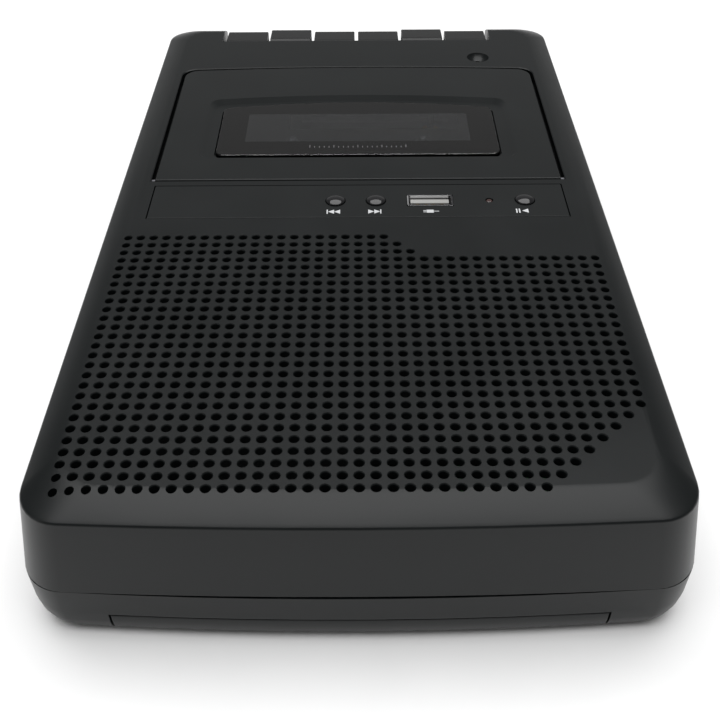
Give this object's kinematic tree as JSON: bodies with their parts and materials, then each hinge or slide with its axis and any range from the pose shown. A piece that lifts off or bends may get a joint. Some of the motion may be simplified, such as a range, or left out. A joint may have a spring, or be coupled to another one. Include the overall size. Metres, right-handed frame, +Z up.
{
  "type": "portable cassette recorder",
  "caption": "flat portable cassette recorder with a perforated speaker field, a windowed cassette door, piano keys, a USB socket and a pull-out handle",
  "frame": {"origin": "on the surface it stands on, under the middle of the case", "axes": "+X right, +Y towards the piano keys, -Y towards the handle and speaker end, +Z up"},
  "size_m": [0.148, 0.247, 0.0412],
  "materials": {
    "case_plastic": "satin moulded ABS with a fine texture",
    "door_plastic": "satin moulded ABS",
    "panel_plastic": "satin moulded ABS",
    "key_plastic": "satin moulded ABS",
    "button_plastic": "glossy domes",
    "window_clear": "smoked clear acrylic",
    "window_print": "black print on the back of the window",
    "wheel_plastic": "knurled edge",
    "inner_plastic": "plain moulded",
    "spindle_plastic": "light nylon",
    "tongue_plastic": "white insulator",
    "component_plastic": "capacitor sleeves and chips",
    "light_lens": "diffused light lens",
    "rubber": "matt black rubber",
    "bright_steel": "nickel-plated steel",
    "spring_steel": "spring wire and plate",
    "sheet_steel": "zinc-plated sheet",
    "screw_steel": "dark plated screws",
    "magnet_iron": "ferrite magnet",
    "flywheel_metal": "turned metal",
    "head_metal": "polished head faces",
    "component_metal": "capsule can",
    "bearing_brass": "turned brass",
    "circuit_board": "green laminate",
    "cone_paper": "black pulp cone",
    "felt": "thin felt ring"
  },
  "bodies": {
    "case": {"top_case": "case_plastic", "speaker_grille": "case_plastic", "bottom_case": "case_plastic", "rubber_feet": "rubber", "case_screws": "screw_steel", "door_hinge_pins": "bright_steel", "control_panel": "panel_plastic", "usb_shell": "bright_steel", "usb_tongue": "tongue_plastic", "status_light": "light_lens", "control_board": "circuit_board", "board_studs": "inner_plastic", "tact_switches": "inner_plastic", "key_shaft": "bright_steel", "key_springs": "spring_steel", "deck_chassis": "sheet_steel", "cassette_well": "inner_plastic", "capstan_bearing": "bearing_brass", "idler_pin": "bright_steel", "motor": "sheet_steel", "drive_belt": "rubber", "speaker_gasket": "felt", "speaker_frame": "sheet_steel", "speaker_magnet": "magnet_iron", "speaker_cone": "cone_paper", "main_board": "circuit_board", "board_components": "component_plastic", "jack_board": "circuit_board", "earphone_jack": "inner_plastic", "microphone_jack": "inner_plastic", "dc_jack": "inner_plastic", "volume_control": "inner_plastic", "battery_contacts": "spring_steel", "microphone": "component_metal"},
    "handle": {"carry_handle": "case_plastic"},
    "battery_cover": {"battery_door": "case_plastic"},
    "tape_door": {"cassette_door": "door_plastic", "window_lens": "window_clear", "window_mask": "window_print"},
    "pause_key": {"pause_key": "key_plastic"},
    "stop_eject_key": {"stop_eject_key": "key_plastic"},
    "fast_forward_key": {"fast_forward_key": "key_plastic"},
    "rewind_key": {"rewind_key": "key_plastic"},
    "play_key": {"play_key": "key_plastic"},
    "record_key": {"record_key": "key_plastic"},
    "skip_back_button": {"skip_back_button": "button_plastic"},
    "skip_forward_button": {"skip_forward_button": "button_plastic"},
    "play_pause_button": {"play_pause_button": "button_plastic"},
    "carriage": {"head_carriage": "sheet_steel", "record_play_head": "head_metal", "erase_head": "head_metal", "pinch_bracket": "bright_steel"},
    "pinch_roller": {"pinch_roller": "rubber"},
    "capstan": {"flywheel": "flywheel_metal", "capstan_shaft": "bright_steel"},
    "supply_spindle": {"supply_spindle": "spindle_plastic"},
    "take_up_spindle": {"take_up_spindle": "spindle_plastic"},
    "idler_wheel": {"idler_wheel": "rubber"},
    "motor_pulley": {"motor_pulley": "bearing_brass"},
    "volume_wheel": {"volume_wheel": "wheel_plastic"}
  },
  "joints": [
    {"name": "handle_slide", "type": "slide", "parent": "case", "child": "handle", "axis": [0, -1, 0], "range_m": [0, 0.036]},
    {"name": "battery_door_hinge", "type": "hinge", "parent": "case", "child": "battery_cover", "pos_m": [0, -0.0003, 0.0024], "axis": [1, 0, 0], "range_deg": [0, 90]},
    {"name": "cassette_door_hinge", "type": "hinge", "parent": "case", "child": "tape_door", "pos_m": [0, 0.009, 0.03855], "axis": [1, 0, 0], "range_deg": [0, 55]},
    {"name": "skip_back_button_press", "type": "slide", "parent": "case", "child": "skip_back_button", "axis": [0, 0, -1], "range_m": [0, 0.0008], "stiffness_N_per_m": 400},
    {"name": "skip_forward_button_press", "type": "slide", "parent": "case", "child": "skip_forward_button", "axis": [0, 0, -1], "range_m": [0, 0.0008], "stiffness_N_per_m": 400},
    {"name": "play_pause_button_press", "type": "slide", "parent": "case", "child": "play_pause_button", "axis": [0, 0, -1], "range_m": [0, 0.0008], "stiffness_N_per_m": 400},
    {"name": "pause_key_press", "type": "hinge", "parent": "case", "child": "pause_key", "pos_m": [-0.04145, 0.092, 0.026], "axis": [-1, 0, 0], "range_deg": [0, 11], "stiffness_Nm_per_rad": 0.4},
    {"name": "stop_eject_key_press", "type": "hinge", "parent": "case", "child": "stop_eject_key", "pos_m": [-0.02505, 0.092, 0.026], "axis": [-1, 0, 0], "range_deg": [0, 11], "stiffness_Nm_per_rad": 0.4},
    {"name": "fast_forward_key_press", "type": "hinge", "parent": "case", "child": "fast_forward_key", "pos_m": [-0.00865, 0.092, 0.026], "axis": [-1, 0, 0], "range_deg": [0, 11], "stiffness_Nm_per_rad": 0.4},
    {"name": "rewind_key_press", "type": "hinge", "parent": "case", "child": "rewind_key", "pos_m": [0.00775, 0.092, 0.026], "axis": [-1, 0, 0], "range_deg": [0, 11], "stiffness_Nm_per_rad": 0.4},
    {"name": "play_key_press", "type": "hinge", "parent": "case", "child": "play_key", "pos_m": [0.02415, 0.092, 0.026], "axis": [-1, 0, 0], "range_deg": [0, 11], "stiffness_Nm_per_rad": 0.4},
    {"name": "record_key_press", "type": "hinge", "parent": "case", "child": "record_key", "pos_m": [0.04055, 0.092, 0.026], "axis": [-1, 0, 0], "range_deg": [0, 11], "stiffness_Nm_per_rad": 0.4},
    {"name": "head_slide", "type": "slide", "parent": "case", "child": "carriage", "axis": [0, -1, 0], "range_m": [0, 0.004], "stiffness_N_per_m": 20},
    {"name": "pinch_roller_spin", "type": "hinge", "parent": "carriage", "child": "pinch_roller", "pos_m": [0.0255, 0.0784, 0.03], "axis": [0, 0, 1], "continuous": true},
    {"name": "capstan_spin", "type": "hinge", "parent": "case", "child": "capstan", "pos_m": [0.0255, 0.0679, 0.009], "axis": [0, 0, 1], "continuous": true},
    {"name": "motor_spin", "type": "hinge", "parent": "case", "child": "motor_pulley", "pos_m": [-0.03, 0.082, 0.009], "axis": [0, 0, 1], "continuous": true},
    {"name": "idler_spin", "type": "hinge", "parent": "case", "child": "idler_wheel", "pos_m": [0.02385, 0.05756, 0.0177], "axis": [0, 0, 1], "continuous": true},
    {"name": "take_up_spin", "type": "hinge", "parent": "case", "child": "take_up_spindle", "pos_m": [0.02125, 0.0413, 0.0177], "axis": [0, 0, 1], "continuous": true},
    {"name": "supply_spin", "type": "hinge", "parent": "case", "child": "supply_spindle", "pos_m": [-0.02125, 0.0413, 0.0177], "axis": [0, 0, 1], "continuous": true},
    {"name": "volume_turn", "type": "hinge", "parent": "case", "child": "volume_wheel", "pos_m": [-0.0639, -0.038, 0.024], "axis": [0, 0, 1], "range_deg": [0, 270]}
  ],
  "couplings": [
    {"joint": "play_key_press", "follows": "head_slide", "rad_per_m": 47.99},
    {"joint": "motor_spin", "follows": "capstan_spin", "ratio": 4.775},
    {"joint": "idler_spin", "follows": "capstan_spin", "ratio": -0.9674},
    {"joint": "take_up_spin", "follows": "capstan_spin", "ratio": 0.4545},
    {"joint": "supply_spin", "follows": "capstan_spin", "ratio": 0.4545},
    {"joint": "pinch_roller_spin", "follows": "capstan_spin", "ratio": -0.24}
  ]
}
